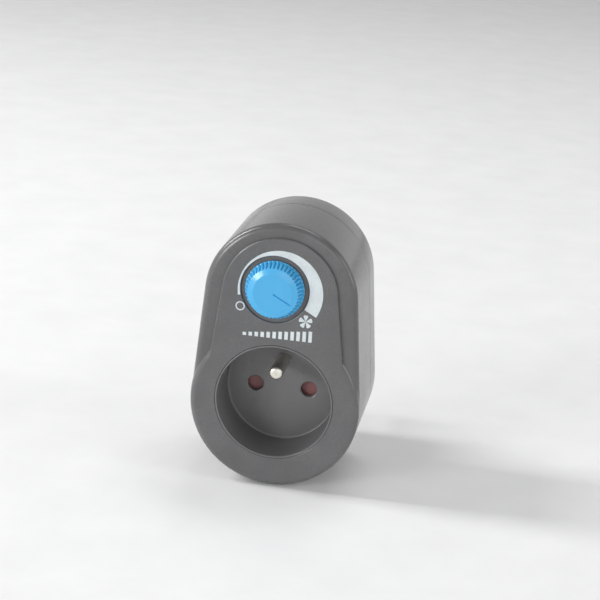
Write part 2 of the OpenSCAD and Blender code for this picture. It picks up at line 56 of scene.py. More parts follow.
# Sizes shared with the CAD part, in millimetres
LOWER_R, UPPER_R, SPACING = 29.4, 26.2, 37.8
LOW_Z = -1.6
HIGH_Z = LOW_Z + SPACING
KNOB_X, KNOB_Z = -1.7, HIGH_Z + 3.9
PANEL_Z, PANEL_R, PANEL_TAPER = HIGH_Z + 2.0, 19.7, 7.5
FACE_Y, FLANGE_Y, SPLIT_Y = -58.0, -16.0, -28.0
LEDGE_Y = FACE_Y + 1.2
INNER_Y = LEDGE_Y + 2.0
BACK_Y = FLANGE_Y - 2.0
WALL, EDGE = 2.0, 2.4
RECESS_R, CUP_R, RIM_R = 19.8, 21.3, 20.4
FLOOR_Y, FLOOR_BACK_Y, CHAMBER_Y = -42.0, -40.0, -35.6
PIN_X, EARTH_Z, HOLE_R, PIN_R, NECK_R = 9.5, 10.0, 2.75, 2.4, 2.0
BOSS_R, CAVITY_R, PIN_LENGTH = 18.75, 16.55, 19.0
DIAL_R, DIAL_Y = 11.6, FACE_Y + 0.8
KNOB_R, KNOB_TOP_R, KNOB_TOP_Y, KNOB_BASE_Y = 10.1, 8.7, FACE_Y - 4.5, DIAL_Y - 0.3
FLUTES = 44
POINTER = math.radians(118)
PRINT_Y = FACE_Y - 0.06
COLUMN_R, SCREW_R, SCREW_HEAD_R = 2.9, 1.1, 2.2
COUNTERBORE_Y = FLANGE_Y - 4.0
BOARD_Y = FACE_Y + 13.0

# Shown only: clearance between fitted pieces, and how far a joined piece is sunk into its host
FIT, SUNK = 0.05, 0.2


# ---------------------------------------------------------------- mesh helpers

def make(name, verts, faces):
    """A mesh piece from points in millimetres."""
    mesh = bpy.data.meshes.new(name)
    mesh.from_pydata([tuple(v) for v in verts], [], faces)
    bm = bmesh.new()
    bm.from_mesh(mesh)
    bmesh.ops.recalc_face_normals(bm, faces=bm.faces)
    bm.to_mesh(mesh)
    bm.free()
    obj = bpy.data.objects.new(name, mesh)
    bpy.context.collection.objects.link(obj)
    return obj


def loft(name, loops):
    """Closed solid through loops of equally many points, with flat ends."""
    n = len(loops[0])
    verts = [p for loop in loops for p in loop]
    faces = [list(range(n)), list(range(n * (len(loops) - 1), n * len(loops)))]
    for k in range(len(loops) - 1):
        a, b = k * n, (k + 1) * n
        for i in range(n):
            j = (i + 1) % n
            faces.append([a + i, a + j, b + j, b + i])
    return make(name, verts, faces)


def circle_loop(x, z, r, y, n):
    return [(x + r * math.cos(2 * math.pi * i / n), y, z + r * math.sin(2 * math.pi * i / n))
            for i in range(n)]


def lathe(name, profile, x=0.0, z=0.0, n=128):
    """Solid turned about an axis along Y; the profile lists (radius, y) from end to end."""
    return loft(name, [circle_loop(x, z, max(r, 0.002), y, n) for r, y in profile])


def rod(name, x, z, r, y0, y1, n=48):
    return lathe(name, [(r, y0), (r, y1)], x, z, n)


def block(name, x0, x1, y0, y1, z0, z1):
    loops = [[(x0, y, z0), (x1, y, z0), (x1, y, z1), (x0, y, z1)] for y in (y0, y1)]
    return loft(name, loops)


def hull_loop(r0, z0, r1, z1, y, inset=0.0, lower=112, upper=104, side=10):
    """Outline round two circles and the lines that touch both, as a loop at depth y."""
    r0, r1 = r0 - inset, r1 - inset
    lean = math.asin((r0 - r1) / (z1 - z0))
    points = []
    for i in range(upper + 1):
        a = lean + (math.pi - 2 * lean) * i / upper
        points.append((r1 * math.cos(a), y, z1 + r1 * math.sin(a)))
    left_top = Vector(points[-1])
    left_low = Vector((-r0 * math.cos(lean), y, z0 + r0 * math.sin(lean)))
    points += [left_top.lerp(left_low, i / side) for i in range(1, side)]
    for i in range(lower + 1):
        a = math.pi - lean + (math.pi + 2 * lean) * i / lower
        points.append((r0 * math.cos(a), y, z0 + r0 * math.sin(a)))
    right_low, right_top = Vector(points[-1]), Vector(points[0])
    points += [right_low.lerp(right_top, i / side) for i in range(1, side)]
    return points


def arc(r, steps):
    """(inset, rise) pairs of a quarter round, from the side wall to the flat."""
    return [(r - r * math.cos(a), r * math.sin(a))
            for a in (math.pi / 2 * i / steps for i in range(steps + 1))]


def boolean(target, tools, operation):
    """Cuts or joins whole solids and drops the tools."""
    for tool in tools:
        modifier = target.modifiers.new("solid", "BOOLEAN")
        modifier.object = tool
        modifier.operation = operation
        modifier.solver = "EXACT"
        depsgraph = bpy.context.evaluated_depsgraph_get()
        made = bpy.data.meshes.new_from_object(target.evaluated_get(depsgraph))
        target.modifiers.clear()
        old, target.data = target.data, made
        bpy.data.meshes.remove(old)
        bpy.data.objects.remove(tool)
    return target


def cut(target, *tools):
    return boolean(target, tools, "DIFFERENCE")


def join(target, *tools):
    return boolean(target, tools, "UNION")


def settle(obj, body, node, slot, angle=32):
    """Scales a finished piece to metres, shades it and has it ride its body in a node's place."""
    mesh = obj.data
    mesh.transform(Matrix.Scale(MM, 4))
    mesh.polygons.foreach_set("use_smooth", [True] * len(mesh.polygons))
    mesh.set_sharp_from_angle(angle=math.radians(angle))
    sharpen_flats(mesh)
    mesh.materials.clear()
    mesh.materials.append(MATERIALS[slot])
    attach(obj, body)
    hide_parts(node)


def sharpen_flats(mesh):
    """Keeps wide flats across Y truly flat where a rounding runs into them."""
    flat = [abs(p.normal.y) > 0.99995 for p in mesh.polygons]
    faces_at = {}
    for p in mesh.polygons:
        for key in p.edge_keys:
            faces_at.setdefault(key, []).append(flat[p.index])
    for edge in mesh.edges:
        sides = faces_at.get(edge.key, [])
        if len(sides) == 2 and sides[0] != sides[1]:
            edge.use_edge_sharp = True


# ------------------------------------------------------------------- materials

class Nodes:
    """Short way to wire a material's nodes."""

    def __init__(self, name):
        self.material = bpy.data.materials.new(name)
        self.material.use_nodes = True
        self.tree = self.material.node_tree
        self.bsdf = self.tree.nodes["Principled BSDF"]
        self.where = self.new("ShaderNodeTexCoord").outputs["Object"]

    def new(self, kind, **values):
        node = self.tree.nodes.new(kind)
        for key, value in values.items():
            setattr(node, key, value)
        return node

    def link(self, source, target):
        self.tree.links.new(source, target)

    def noise(self, scale, detail=3.0, roughness=0.55, stretch=None):
        node = self.new("ShaderNodeTexNoise")
        node.inputs["Scale"].default_value = scale
        node.inputs["Detail"].default_value = detail
        node.inputs["Roughness"].default_value = roughness
        if stretch:
            mapping = self.new("ShaderNodeMapping")
            mapping.inputs["Scale"].default_value = stretch
            self.link(self.where, mapping.inputs["Vector"])
            self.link(mapping.outputs["Vector"], node.inputs["Vector"])
        else:
            self.link(self.where, node.inputs["Vector"])
        return node.outputs["Fac"]

    def spread(self, value, low, high, start=0.3, end=0.7):
        node = self.new("ShaderNodeMapRange")
        node.inputs["From Min"].default_value = start
        node.inputs["From Max"].default_value = end
        node.inputs["To Min"].default_value = low
        node.inputs["To Max"].default_value = high
        self.link(value, node.inputs["Value"])
        return node.outputs["Result"]

    def mix(self, factor, dark, light):
        node = self.new("ShaderNodeMix", data_type="RGBA")
        self.link(factor, node.inputs["Factor"])
        for key, colour in (("A", dark), ("B", light)):
            socket = next(s for s in node.inputs if s.name == key and s.type == "RGBA")
            if isinstance(colour, tuple):
                socket.default_value = (*colour, 1.0)
            else:
                self.link(colour, socket)
        return next(s for s in node.outputs if s.type == "RGBA")

    def add(self, a, b, operation="ADD"):
        node = self.new("ShaderNodeMath", operation=operation)
        for socket, value in zip(node.inputs, (a, b)):
            if isinstance(value, float):
                socket.default_value = value
            else:
                self.link(value, socket)
        return node.outputs[0]

    def bump(self, height, distance):
        node = self.new("ShaderNodeBump")
        node.inputs["Distance"].default_value = distance
        node.inputs["Strength"].default_value = 1.0
        self.link(height, node.inputs["Height"])
        self.link(node.outputs["Normal"], self.bsdf.inputs["Normal"])

    def to(self, value, socket):
        self.link(value, self.bsdf.inputs[socket])


def shade(colour, factor):
    return tuple(min(1.0, c * factor) for c in colour)


def moulded(name, colour, rough, depth=2.2e-5, coat=0.0, vary=0.10):
    """Moulded plastic: fine eroded grain, faint flow marks, light handling scuffs."""
    n = Nodes(name)
    flow = n.noise(55, 4, 0.6)
    fine = n.noise(5200, 2, 0.5)
    scuff = n.noise(900, 5, 0.75, (1.0, 1.0, 0.06))
    tone = n.mix(n.spread(flow, 0.0, 1.0), shade(colour, 1 - vary), shade(colour, 1 + vary))
    worn = n.mix(n.spread(scuff, 0.0, 0.12, 0.60, 0.80), tone, shade(colour, 1.4))
    n.to(worn, "Base Color")
    uneven = n.add(n.spread(flow, -0.05, 0.05), n.spread(fine, rough - 0.05, rough + 0.07))
    n.to(n.add(uneven, n.spread(scuff, 0.0, 0.05, 0.58, 0.78)), "Roughness")
    n.bsdf.inputs["IOR"].default_value = 1.5
    n.bsdf.inputs["Coat Weight"].default_value = coat
    n.bsdf.inputs["Coat Roughness"].default_value = 0.12
    n.bump(n.add(fine, n.add(flow, 0.3, "MULTIPLY")), depth)
    return n.material


def plated(name, colour, rough, along=(1.0, 0.05, 1.0), fine=4200, depth=1.2e-6):
    """Plated or drawn metal: fine lines, dulled patches, faint tarnish."""
    n = Nodes(name)
    lines = n.noise(fine, 3, 0.6, along)
    patch = n.noise(160, 4, 0.6)
    tone = n.mix(n.spread(patch, 0.0, 1.0), shade(colour, 0.92), shade(colour, 1.04))
    n.to(tone, "Base Color")
    n.bsdf.inputs["Metallic"].default_value = 1.0
    n.to(n.add(n.spread(patch, -0.03, 0.04), n.spread(lines, rough - 0.02, rough + 0.03)), "Roughness")
    n.bump(lines, depth)
    return n.material


def laminate(name, colour):
    """Paper laminate board: woven mottling and darker fibres."""
    n = Nodes(name)
    fibre = n.noise(1500, 4, 0.7, (1.0, 1.0, 0.15))
    patch = n.noise(220, 3, 0.5)
    tone = n.mix(n.spread(n.add(fibre, patch, "MULTIPLY"), 0.0, 1.0, 0.12, 0.4),
                 shade(colour, 0.75), shade(colour, 1.2))
    n.to(tone, "Base Color")
    n.to(n.spread(fibre, 0.45, 0.65), "Roughness")
    n.bump(fibre, 1.5e-5)
    return n.material


def sooty(name, colour, rough=0.75):
    """Pressed carbon or ferrite: matt, with sparse pits."""
    n = Nodes(name)
    grit = n.noise(2600, 5, 0.8)
    tone = n.mix(n.spread(grit, 0.0, 1.0), shade(colour, 0.7), shade(colour, 1.35))
    n.to(tone, "Base Color")
    n.to(n.spread(grit, rough - 0.1, rough + 0.12), "Roughness")
    n.bump(grit, 6e-5)
    return n.material


def printed(name, colour):
    """Screen-printed ink: slightly thin in places, satin."""
    n = Nodes(name)
    thin = n.noise(1900, 4, 0.7)
    patch = n.noise(260, 2, 0.5)
    tone = n.mix(n.spread(n.add(thin, patch, "MULTIPLY"), 0.0, 1.0, 0.14, 0.34),
                 shade(colour, 0.86), colour)
    n.to(tone, "Base Color")
    n.to(n.spread(thin, 0.38, 0.6), "Roughness")
    n.bump(thin, 1.2e-5)
    return n.material


def clear(name, colour, rough=0.06):
    """Small glass tube: clear, with a faint smear."""
    n = Nodes(name)
    smear = n.noise(420, 4, 0.6)
    n.to(n.mix(n.spread(smear, 0.0, 1.0), shade(colour, 0.9), colour), "Base Color")
    n.to(n.spread(smear, rough, rough + 0.1), "Roughness")
    n.bsdf.inputs["Transmission Weight"].default_value = 0.85
    n.bsdf.inputs["IOR"].default_value = 1.5
    n.bump(smear, 8e-6)
    return n.material


MATERIALS = {
    "housing": moulded("housing_plastic", (0.111, 0.111, 0.114), 0.24, depth=0.9e-5, coat=0.15),
    # Lighter than the housing plastic: painted fill light, brightening the socket insert to stand in
    # for light that reaches its recess
    "socket_insert": moulded("insert_plastic_painted_fill", (0.146, 0.146, 0.149), 0.34, depth=0.9e-5),
    "shutter_plastic": moulded("shutter_plastic", (0.195, 0.066, 0.066), 0.35, depth=1.2e-5),
    "knob_plastic": moulded("knob_plastic", (0.060, 0.386, 0.707), 0.20,
                            depth=0.4e-5, coat=0.3, vary=0.04),
    "carrier_plastic": moulded("carrier_plastic", (0.42, 0.40, 0.35), 0.5),
    "nickel": plated("nickel", (0.80, 0.77, 0.70), 0.30, fine=700, depth=0.6e-6),
    "contact_brass": plated("contact_brass", (0.72, 0.50, 0.20), 0.3),
    "spring_steel": plated("spring_steel", (0.55, 0.55, 0.54), 0.3, (1.0, 1.0, 1.0)),
    "screw_steel": plated("screw_steel", (0.60, 0.60, 0.58), 0.3),
    "dark_screw": plated("dark_screw", (0.16, 0.16, 0.155), 0.38),
    "shaft_metal": plated("shaft_metal", (0.72, 0.72, 0.71), 0.28),
    "board": laminate("board_laminate", (0.22, 0.13, 0.045)),
    "pot_housing": moulded("pot_plastic", (0.30, 0.32, 0.30), 0.5),
    "track_carbon": sooty("track_carbon", (0.02, 0.02, 0.02)),
    "switch_plastic": moulded("switch_plastic", (0.03, 0.045, 0.12), 0.45),
    "print_ink": printed("print_ink", (0.66, 0.72, 0.735)),
    "ferrite": sooty("ferrite", (0.045, 0.048, 0.045), 0.7),
    "copper_wire": plated("copper_wire", (0.60, 0.22, 0.08), 0.22, (1.0, 1.0, 0.1)),
    "capacitor_yellow": moulded("capacitor_yellow", (0.65, 0.40, 0.03), 0.3, depth=1e-5),
    "epoxy": moulded("epoxy", (0.012, 0.012, 0.013), 0.5),
    "sink_metal": plated("sink_metal", (0.66, 0.66, 0.67), 0.34, (1.0, 0.05, 1.0)),
    "fuse_glass": clear("fuse_glass", (0.92, 0.96, 0.95)),
    "varistor_blue": moulded("varistor_blue", (0.012, 0.05, 0.28), 0.3),
    "capacitor_red": moulded("capacitor_red", (0.30, 0.025, 0.012), 0.3),
    "resistor_body": moulded("resistor_body", (0.46, 0.30, 0.13), 0.45),
    "diac_blue": clear("diac_blue", (0.05, 0.12, 0.40), 0.1),
    "wire_brown": moulded("wire_brown", (0.10, 0.035, 0.012), 0.35),
    "wire_red": moulded("wire_red", (0.32, 0.012, 0.008), 0.35),
}


# --------------------------------------------------------------------- housing

def housing_screw_points():
    low_r = LOWER_R - WALL - COLUMN_R - 0.1
    high_r = UPPER_R - WALL - COLUMN_R - 0.1
    low, high = math.radians(45), math.radians(38)
    for side in (-1, 1):
        yield side * low_r * math.cos(low), LOW_Z - low_r * math.sin(low)
        yield side * high_r * math.cos(high), HIGH_Z + high_r * math.sin(high)


def body_loop(y, inset=0.0):
    return hull_loop(LOWER_R, LOW_Z, UPPER_R, HIGH_Z, y, inset)


def ring_body():
    """Raised disc round the socket, up to the face."""
    side, top, root_y = LOWER_R - 0.004, FACE_Y + 0.004, -45.0
    profile = [(side - 3, root_y), (side, root_y - 1)]
    profile += [(side - inset, top + EDGE - rise) for inset, rise in arc(EDGE, 12)]
    return lathe("ring", profile, 0.0, LOW_Z, 192)


def panel_body():
    """Raised control panel, with a small rounding along its top edge."""
    foot_z, edge, root_y, steps = 4.0, 0.5, -50.0, 120
    taper = math.radians(PANEL_TAPER)
    loops = []
    levels = [(0.0, root_y)] + [(i, FACE_Y + edge - r) for i, r in arc(edge, 5)]
    for inset, y in levels:
        r = PANEL_R - inset
        foot_x = (r + (PANEL_Z - foot_z) * math.sin(taper)) / math.cos(taper)
        loop = []
        for k in range(steps + 1):
            a = taper + (math.pi - 2 * taper) * k / steps
            loop.append((r * math.cos(a), y, PANEL_Z + r * math.sin(a)))
        loop += [(-foot_x, y, foot_z), (foot_x, y, foot_z)]
        loops.append(loop)
    return loft("panel", loops)


def front_shell():
    chamfer, lip, lead_in = 0.22, 0.35, 0.25
    mouth_r, neck_r, collar_r, collar_depth = RIM_R + FIT, 4.5, CUP_R + 1.6, 5
    pilot_depth = 9
    post_x, post_z, post_r, post_pilot_r, post_pilot_depth = 17.0, HIGH_Z - 5.8, 2.4, 0.9, 6
    levels = [(chamfer, SPLIT_Y), (0.0, SPLIT_Y - chamfer)]
    levels += [(inset, LEDGE_Y + EDGE - rise) for inset, rise in arc(EDGE, 12)]
    shell = loft("front_shell_skin", [body_loop(y, inset) for inset, y in levels])
    join(shell, ring_body(), panel_body())
    mouth = [(mouth_r + lip, FACE_Y - 1)] + [
        (mouth_r + lip * (1 - math.sin(a)), FACE_Y + lip * (1 - math.cos(a)))
        for a in (math.pi / 2 * i / 4 for i in range(5))] + [(mouth_r, INNER_Y + 1)]
    dial = [(DIAL_R + lead_in, FACE_Y - 1), (DIAL_R + lead_in, FACE_Y - 0.001),
            (DIAL_R + 0.07, FACE_Y + 0.07), (DIAL_R, FACE_Y + lead_in),
            (DIAL_R, DIAL_Y - 0.2), (DIAL_R - 0.2, DIAL_Y)]
    hollow = loft("hollow", [body_loop(INNER_Y, WALL), body_loop(SPLIT_Y + 1, WALL)])
    cut(shell, hollow, lathe("mouth", mouth), lathe("dial", dial, KNOB_X, KNOB_Z),
        rod("neck_hole", KNOB_X, KNOB_Z, neck_r, FACE_Y - 1, INNER_Y + 1))
    collar = lathe("collar", [(collar_r, INNER_Y - SUNK), (collar_r, INNER_Y + collar_depth)])
    cut(collar, lathe("collar_bore", [
        (CUP_R + FIT, INNER_Y - 1), (CUP_R + FIT, INNER_Y + collar_depth + 1)]))
    columns = []
    for k, (x, z) in enumerate(housing_screw_points()):
        column = rod(f"column{k}", x, z, COLUMN_R, INNER_Y - SUNK, SPLIT_Y)
        columns.append(cut(column, rod("pilot", x, z, SCREW_R, SPLIT_Y - pilot_depth, SPLIT_Y + 1)))
    for x in (-post_x, post_x):
        post = rod(f"post{x:.0f}", x, post_z, post_r, INNER_Y - SUNK, BOARD_Y)
        columns.append(cut(post, rod("pilot", x, post_z, post_pilot_r,
                                     BOARD_Y - post_pilot_depth, BOARD_Y + 1, 24)))
    join(shell, collar, *columns)
    settle(shell, "housing", "front_shell", "housing")


def rear_shell():
    chamfer, back_edge, nose, column_r, lip = 0.22, 1.0, 0.9, 3.1, 1.6
    cavity_floor_y, bore_y = -3.0, -4
    groove_r, groove_half, groove_wall, groove_wall_half = BOSS_R - 2.6, 2.7, 1.6, 3.9
    slot_r, slot_half, slot_y = BOSS_R - 2.7, 2.9, -13.6
    levels = [(chamfer, SPLIT_Y), (0.0, SPLIT_Y + chamfer)]
    levels += [(inset, FLANGE_Y - back_edge + rise) for inset, rise in arc(back_edge, 7)]
    shell = loft("rear_shell_skin", [body_loop(y, inset) for inset, y in levels])
    boss = [(BOSS_R, FLANGE_Y - 0.5)] + [
        (BOSS_R - inset, -nose + rise) for inset, rise in arc(nose, 6)]
    join(shell, lathe("boss", boss, n=160))
    cut(shell, loft("hollow", [body_loop(SPLIT_Y - 1, WALL), body_loop(BACK_Y, WALL)]),
        lathe("cavity", [(CAVITY_R, BACK_Y - 1), (CAVITY_R, cavity_floor_y)]))
    for k, (x, z) in enumerate(housing_screw_points()):
        join(shell, rod(f"column{k}", x, z, column_r, SPLIT_Y, BACK_Y + 0.5))
    tongue = loft("tongue", [body_loop(SPLIT_Y - lip, WALL + FIT), body_loop(SPLIT_Y + 1, WALL + FIT)])
    cut(tongue, loft("tongue_bore", [
        body_loop(SPLIT_Y - 2, WALL + 1), body_loop(SPLIT_Y + 2, WALL + 1)]))
    for x, z in housing_screw_points():
        cut(tongue, rod("clear", x, z, COLUMN_R + 0.2, SPLIT_Y - 3, SPLIT_Y - 0.001))
    join(shell, tongue)
    for side in (-1, 1):
        near, far = sorted((side * (groove_r - groove_wall), side * groove_r))
        join(shell, block("groove_wall", near, far, FLANGE_Y - 0.5, -nose,
                          -groove_wall_half, groove_wall_half))
        near, far = sorted((side * groove_r, side * (BOSS_R + 1)))
        cut(shell, block("groove", near, far, FLANGE_Y + 1.5, 1.0, -groove_half, groove_half))
        low, high = sorted((side * slot_r, side * (BOSS_R + 1)))
        cut(shell, block("clip_slot", -slot_half, slot_half, slot_y, 1.0, low, high))
        cut(shell, rod("pin_hole", side * PIN_X, 0, NECK_R, bore_y, 1))
    hole = PIN_R + 0.2
    cut(shell, lathe("earth_hole", [
        (hole, bore_y), (hole, -0.6), (hole + 0.5, 0.0), (hole + 0.5, 1)], 0, EARTH_Z, 64))
    for x, z in housing_screw_points():
        bore = SCREW_HEAD_R + 0.2
        cut(shell, rod("screw_hole", x, z, SCREW_R + 0.2, SPLIT_Y - 1, COUNTERBORE_Y + 1, 32),
            lathe("counterbore", [(bore, COUNTERBORE_Y), (bore, FLANGE_Y - 0.3), (bore + 0.3, FLANGE_Y),
                                  (bore + 0.3, FLANGE_Y + 1)], x, z, 48))
    settle(shell, "housing", "rear_shell", "housing")


def socket_cup():
    rim, floor_r, blend, rim_y = 0.22, RECESS_R - 0.3, 0.7, FACE_Y - FIT
    rail_in, rail_out, rail_low, rail_high = 13.3, 14.3, -11, 3.6
    post_x, post_z, post_r, post_length = 15.4, -9.4, 2.3, 5
    profile = [(0.0, FLOOR_BACK_Y), (CUP_R, FLOOR_BACK_Y), (CUP_R, INNER_Y), (RIM_R, INNER_Y)]
    profile += [(RIM_R - i * 0.8, rim_y + rim - r) for i, r in arc(rim, 4)]
    profile += [(RECESS_R + 0.12, rim_y), (RECESS_R, FACE_Y + 0.12)]
    profile += [(floor_r - blend + blend * math.cos(a), FLOOR_Y - blend + blend * math.sin(a))
                for a in (math.pi / 2 * i / 8 for i in range(9))]
    profile += [(0.0, FLOOR_Y)]
    cup = lathe("socket_cup_skin", profile, n=192)
    for side in (-1, 1):
        flare = [(HOLE_R + 0.45, FLOOR_Y - 1), (HOLE_R + 0.45, FLOOR_Y),
                 (HOLE_R + 0.12, FLOOR_Y + 0.14), (HOLE_R, FLOOR_Y + 0.45),
                 (HOLE_R, FLOOR_BACK_Y + 1)]
        cut(cup, lathe("contact_hole", flare, side * PIN_X, 0, 64))
        near, far = sorted((side * rail_in, side * rail_out))
        join(cup, block("rail", near, far, FLOOR_BACK_Y - SUNK, CHAMBER_Y - 0.4, rail_low, rail_high))
        post_end = FLOOR_BACK_Y + post_length
        post = rod("post", side * post_x, post_z, post_r, FLOOR_BACK_Y - SUNK, post_end)
        pilot = rod("pilot", side * post_x, post_z, SCREW_R, FLOOR_BACK_Y + 0.6, post_end + 1, 24)
        join(cup, cut(post, pilot))
    cut(cup, rod("earth_neck", 0, EARTH_Z, NECK_R, FLOOR_Y - 1, FLOOR_BACK_Y + 1))
    settle(cup, "housing", "socket_cup", "socket_insert")


# ------------------------------------------------------------------------ pins

def dome(r, flat_r, length, tip, steps=8):
    """(radius, distance from tip) pairs of a blunt rounded pin end, ending at a small flat."""
    out = []
    for i in range(steps + 1):
        a = math.pi / 2 * i / steps
        out.append((flat_r + (r - flat_r) * math.cos(a), tip - length + length * math.sin(a)))
    return out


def earth_pin():
    tip, tail, shank_r, shoulder_r = FACE_Y + 1.2, -20.2, 1.8, 3.4
    shoulder_y = FLOOR_BACK_Y + 1.2
    end = [(r, -y) for r, y in dome(PIN_R, 1.0, 1.3, -tip)]
    profile = [(0, tail), (shank_r, tail), (shank_r, shoulder_y), (shoulder_r, shoulder_y),
               (shoulder_r, FLOOR_BACK_Y), (NECK_R, FLOOR_BACK_Y), (NECK_R, FLOOR_Y), (PIN_R, FLOOR_Y)]
    profile += end + [(0.45, tip), (0.3, tip + 0.18), (0, tip + 0.24)]
    pin = lathe("earth_pin_turned", profile, 0, EARTH_Z, 64)
    settle(pin, "housing", "earth_pin", "nickel")


def plug_pin(name, x, tail):
    tail_r, collar_r, collar_y, seat_y = 1.5, PIN_R + 0.9, -5.2, -3.0
    profile = [(0, tail), (tail_r, tail), (tail_r, collar_y), (collar_r, collar_y),
               (collar_r, seat_y), (NECK_R, seat_y), (NECK_R, 0.0), (PIN_R, 0.0)]
    profile += dome(PIN_R, 0.8, 1.7, PIN_LENGTH) + [(0, PIN_LENGTH)]
    pin = lathe(f"{name}_turned", profile, x, 0, 64)
    settle(pin, "housing", name, "nickel")


# ------------------------------------------------------------------------ knob

def fluted_loop(r, y, depth):
    """Outline of the knob at depth y, with grooves that are rounded between sharper ridges."""
    n = FLUTES * 14
    loop = []
    for i in range(n):
        a = 2 * math.pi * i / n
        groove = (0.5 + 0.5 * math.cos(FLUTES * a)) ** 2.2
        rr = r - depth * groove
        loop.append((KNOB_X + rr * math.cos(a), y, KNOB_Z + rr * math.sin(a)))
    return loop


def knob():
    shoulder, shoulder_width, skirt = 0.9, 2.2, 1.5
    flute_depth, faded_depth = 0.6, 0.34
    loops = [fluted_loop(KNOB_R - 0.15, KNOB_BASE_Y, 0), fluted_loop(KNOB_R, KNOB_BASE_Y - 0.15, 0),
             fluted_loop(KNOB_R, KNOB_BASE_Y - 0.55, 0)]
    start_y, end_y = KNOB_BASE_Y - 0.8, KNOB_TOP_Y + shoulder
    for k in range(9):
        t = k / 8
        r = KNOB_R - 0.08 + (KNOB_TOP_R - KNOB_R + 0.08) * t
        depth = flute_depth if k < 8 else faded_depth
        loops.append(fluted_loop(r, start_y + (end_y - start_y) * t, depth))
    for along, up in ((0.03, 0.12), (0.10, 0.22), (0.30, 0.38), (0.55, 0.62),
                      (0.80, 0.84), (0.93, 0.96), (1.0, 1.0)):
        depth = faded_depth * max(0.0, 1 - up * 4)
        loops.append(fluted_loop(KNOB_TOP_R - along * shoulder_width, end_y - up * shoulder, depth))
    body = loft("knob_cap", loops)
    cut(body, lathe("hollow", [(KNOB_R - skirt, KNOB_BASE_Y + 1), (KNOB_R - skirt, KNOB_BASE_Y),
                               (KNOB_TOP_R - skirt, KNOB_TOP_Y + 1.6)], KNOB_X, KNOB_Z))
    hub = lathe("hub", [(5.0, KNOB_BASE_Y), (5.0, KNOB_TOP_Y + 1.2)], KNOB_X, KNOB_Z, 64)
    join(body, cut(hub, rod("shaft_bore", KNOB_X, KNOB_Z, 3.0, KNOB_TOP_Y + 1.6, KNOB_BASE_Y + 1)))
    cut(body, pointer_groove())
    settle(body, "knob", "knob", "knob_plastic", 28)


def pointer_groove():
    """V-shaped engraved line from near the centre to the rim."""
    half, deep, top = 0.24, 0.45, KNOB_TOP_Y
    start, end = 0.4, KNOB_TOP_R + 0.5
    along = Vector((math.sin(POINTER), 0, math.cos(POINTER)))
    across = Vector((math.cos(POINTER), 0, -math.sin(POINTER)))
    centre = Vector((KNOB_X, 0, KNOB_Z))
    loops = []
    for distance in (start, end):
        p = centre + along * distance
        loops.append([p + across * half * 2 + Vector((0, top - deep, 0)),
                      p - across * half * 2 + Vector((0, top - deep, 0)),
                      p - across * half * 0.4 + Vector((0, top + deep, 0)),
                      p + across * half * 0.4 + Vector((0, top + deep, 0))])
    return loft("pointer", loops)


# ---------------------------------------------------------------------- prints

def plate(name, outline, y0=PRINT_Y, y1=FACE_Y):
    """Thin printed shape from an (x, z) outline."""
    return loft(name, [[(x, y0, z) for x, z in outline], [(x, y1, z) for x, z in outline]])


def around(x, z, r, steps, start=0.0, end=360.0):
    """Points (x, z) along an arc."""
    return [(x + r * math.cos(a), z + r * math.sin(a)) for a in
            (math.radians(start + (end - start) * i / steps) for i in range(steps + 1))]


def reach(angle, x, z, r):
    """Distance from the knob's axis to a circle round (x, z), along an angle."""
    dx, dz = x - KNOB_X, z - KNOB_Z
    along = dx * math.cos(angle) + dz * math.sin(angle)
    return along + math.sqrt(r * r - dx * dx - dz * dz + along * along)


def wedge_outline():
    """Scale that widens clockwise, between the dial's edge and an off-centre circle."""
    inner, outer = DIAL_R + 0.28, DIAL_R + 2.9
    start, end, steps = -29.0, 194.0, 150
    near = around(KNOB_X, KNOB_Z, inner, steps, start, end)
    far = []
    for i in range(steps + 1):
        a = math.radians(start + (end - start) * i / steps)
        d = reach(a, KNOB_X + 1.9, KNOB_Z - 0.8, outer)
        far.append((KNOB_X + d * math.cos(a), KNOB_Z + d * math.sin(a)))
    return near + far[::-1]


def beside_dial(angle, half_size):
    """Centre of a symbol just outside the dial."""
    d = DIAL_R + half_size + 0.15
    return KNOB_X + d * math.cos(math.radians(angle)), KNOB_Z + d * math.sin(math.radians(angle))


def merge(name, parts):
    """One piece of several separate solids."""
    bm = bmesh.new()
    for part in parts:
        bm.from_mesh(part.data)
        bpy.data.objects.remove(part)
    mesh = bpy.data.meshes.new(name)
    bm.to_mesh(mesh)
    bm.free()
    obj = bpy.data.objects.new(name, mesh)
    bpy.context.collection.objects.link(obj)
    return obj


def off_ring():
    r, line = 1.6, 0.42
    x, z = beside_dial(211, r)
    return plate("ring", around(x, z, r, 60, 90.5, 449.5) + around(x, z, r - line, 60, 449.5, 90.5))


def fan_blades():
    count, r = 5, 2.3
    x, z = beside_dial(318.1, r + 0.8)
    parts = [plate("hub", around(x, z, 0.5, 24)[:-1])]
    for k in range(count):
        t = math.radians(90 + k * 360 / count)
        blade = [(0.3, -0.16), (r - 0.5, -0.78), (r - 0.3, -0.8), (r - 0.12, -0.66), (r, -0.3),
                 (r, 0.3), (r - 0.12, 0.66), (r - 0.3, 0.8), (r - 0.5, 0.78), (0.3, 0.16)]
        parts.append(plate("blade", [(x + u * math.cos(t) - v * math.sin(t),
                                      z + u * math.sin(t) + v * math.cos(t)) for u, v in blade]))
    return merge("fan_ink", parts)


def level_bars():
    """Plain row of rising bars."""
    count, pitch, bar, shortest, climb = 12, 2.04, 1.2, 1.1, 0.25
    z = KNOB_Z - DIAL_R - 5.4
    bars = []
    for i in range(count):
        x = (i - (count - 1) / 2) * pitch - bar / 2
        top = z + shortest + climb * i
        bars.append(plate("bar", [(x, z), (x + bar, z), (x + bar, top), (x, top)]))
    return merge("level_ink", bars)


def prints():
    made = {"scale_print": plate("scale_ink", wedge_outline()), "off_symbol": off_ring(),
            "fan_symbol": fan_blades(), "level_marks": level_bars()}
    for node, obj in made.items():
        settle(obj, "housing", node, "print_ink")


# ----------------------------------------------------------------------- wires

